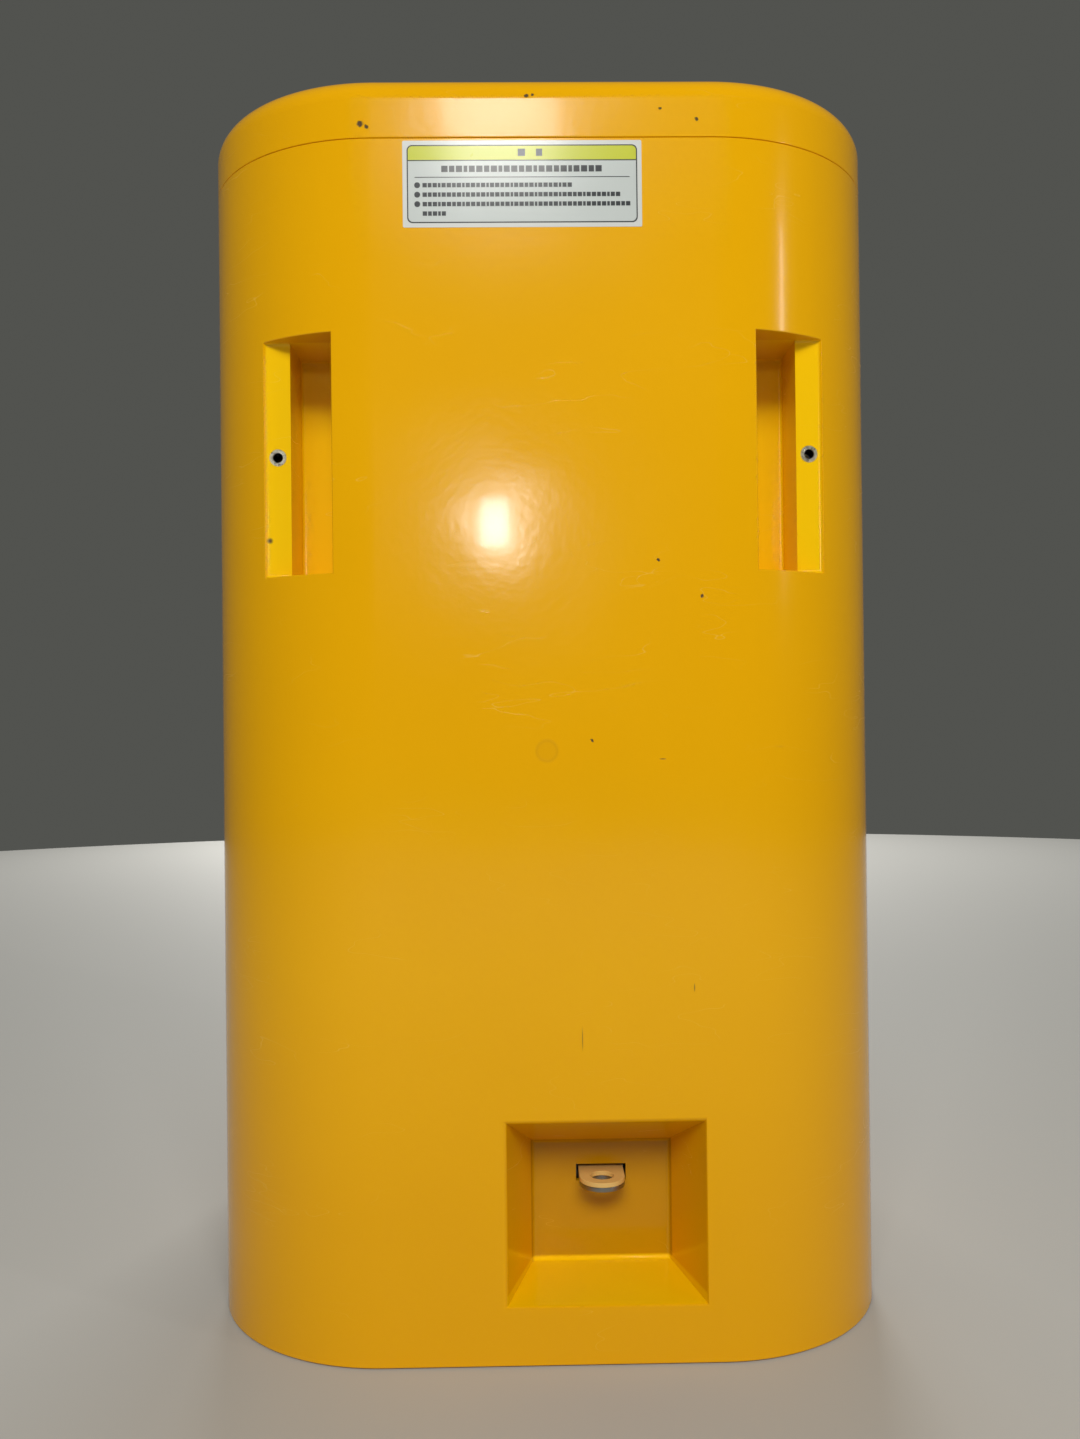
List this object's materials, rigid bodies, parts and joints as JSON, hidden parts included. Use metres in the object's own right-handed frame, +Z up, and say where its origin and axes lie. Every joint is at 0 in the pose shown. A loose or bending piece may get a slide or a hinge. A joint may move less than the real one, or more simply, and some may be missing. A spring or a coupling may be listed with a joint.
{
  "type": "ticket vending machine",
  "caption": "Free-standing moulded cabinet that vends paper tickets for coins: lift-off lid, hinged front door with knob, slot and trays, cash drawer, rear hand grips and a tie pocket.",
  "frame": {"origin": "on the floor under the middle of the square of caster bolt holes in the base plate", "axes": "+Z up, +Y towards the rear face with the grips and the tie pocket, +X to the right of someone facing the front door"},
  "size_m": [0.3, 0.3273, 0.532],
  "materials": {
    "yellow": "gloss moulded",
    "plate_steel": "zinc plated sheet",
    "zinc": "zinc plated",
    "tan_paint": "satin paint",
    "brass": "turned",
    "label": "printed film",
    "cream_paint": "satin paint",
    "cream_plastic": "satin moulded",
    "paper": "uncoated paper",
    "black_plastic": "satin moulded",
    "spring_steel": "blued",
    "clear": "clear polycarbonate",
    "chrome": "polished",
    "white_plastic": "moulded",
    "red_plastic": "gloss moulded"
  },
  "bodies": {
    "cabinet": {"body_shell": "yellow", "base_plate": "plate_steel", "base_screws": "zinc", "hasp_bracket": "plate_steel", "tie_lug": "tan_paint", "grip_inserts": "brass", "rear_label": "label", "inner_frame": "cream_paint", "frame_screws": "zinc", "ticket_magazine": "cream_plastic", "ticket_stack": "paper", "drawer_runners": "plate_steel", "coin_funnel": "black_plastic", "hinge_brackets": "plate_steel", "hinge_pins": "zinc", "lock_strikes": "plate_steel"},
    "lid": {"lid": "yellow", "lid_clips": "plate_steel"},
    "follower": {"stack_follower": "black_plastic", "follower_spring": "spring_steel"},
    "door": {"door_panel": "cream_plastic", "window_pane": "clear", "display_card": "paper", "window_retainer": "black_plastic", "retainer_screws": "zinc", "mechanism_plate": "plate_steel", "plate_standoffs": "zinc", "knob_bezel": "black_plastic", "coin_plate": "chrome", "coin_chute": "white_plastic", "outlet_chute": "black_plastic", "return_cup": "black_plastic", "rack_guide": "black_plastic", "latch_pin": "zinc", "door_lock_body": "chrome"},
    "knob": {"knob": "black_plastic", "knob_shaft": "zinc", "pinion_gear": "brass", "latch_disc": "plate_steel", "knob_spring": "spring_steel"},
    "rack": {"rack_bar": "white_plastic", "push_finger": "plate_steel"},
    "latch": {"coin_latch": "black_plastic"},
    "outlet_flap": {"outlet_flap": "clear"},
    "return_flap": {"return_flap": "chrome"},
    "button": {"reject_button": "red_plastic", "button_spring": "spring_steel"},
    "door_lock": {"door_lock_plug": "brass", "door_lock_cam": "plate_steel"},
    "drawer": {"cash_drawer": "black_plastic", "drawer_front": "cream_plastic", "drawer_pull": "black_plastic", "drawer_lock_body": "chrome"},
    "drawer_lock": {"drawer_lock_plug": "brass", "drawer_lock_cam": "plate_steel"}
  },
  "joints": [
    {"name": "lid_lift", "type": "slide", "parent": "cabinet", "child": "lid", "axis": [0, 0, 1], "range_m": [0, 0.06]},
    {"name": "follower_slide", "type": "slide", "parent": "cabinet", "child": "follower", "axis": [0, 1, 0], "range_m": [0, 0.04]},
    {"name": "door_hinge", "type": "hinge", "parent": "cabinet", "child": "door", "pos_m": [-0.099, -0.1445, 0.298], "axis": [0, 0, -1], "range_deg": [0, 90]},
    {"name": "knob_turn", "type": "hinge", "parent": "door", "child": "knob", "pos_m": [0, -0.135, 0.226], "axis": [0, 1, 0], "range_deg": [0, 180], "stiffness_Nm_per_rad": 0.02, "springref_deg": -11.46},
    {"name": "rack_drop", "type": "slide", "parent": "door", "child": "rack", "axis": [0, 0, -1], "range_m": [0, 0.0566]},
    {"name": "coin_latch_lift", "type": "hinge", "parent": "door", "child": "latch", "pos_m": [-0.034, -0.129, 0.226], "axis": [0, 1, 0], "range_deg": [0, 15]},
    {"name": "outlet_flap_swing", "type": "hinge", "parent": "door", "child": "outlet_flap", "pos_m": [0, -0.1478, 0.148], "axis": [1, 0, 0], "range_deg": [0, 70]},
    {"name": "return_flap_swing", "type": "hinge", "parent": "door", "child": "return_flap", "pos_m": [0.075, -0.1478, 0.153], "axis": [1, 0, 0], "range_deg": [0, 55]},
    {"name": "reject_press", "type": "slide", "parent": "door", "child": "button", "axis": [0, 1, 0], "range_m": [0, 0.004], "stiffness_N_per_m": 150, "springref_m": -0.003, "deforming": ["button_spring"]},
    {"name": "door_lock_turn", "type": "hinge", "parent": "door", "child": "door_lock", "pos_m": [0.085, -0.13, 0.226], "axis": [0, -1, 0], "range_deg": [0, 90]},
    {"name": "drawer_slide", "type": "slide", "parent": "cabinet", "child": "drawer", "axis": [0, -1, 0], "range_m": [0, 0.11]},
    {"name": "drawer_lock_turn", "type": "hinge", "parent": "drawer", "child": "drawer_lock", "pos_m": [-0.05, -0.13, 0.086], "axis": [0, -1, 0], "range_deg": [0, 90]}
  ],
  "couplings": [
    {"joint": "rack_drop", "follows": "knob_turn", "m_per_rad": 0.018}
  ]
}
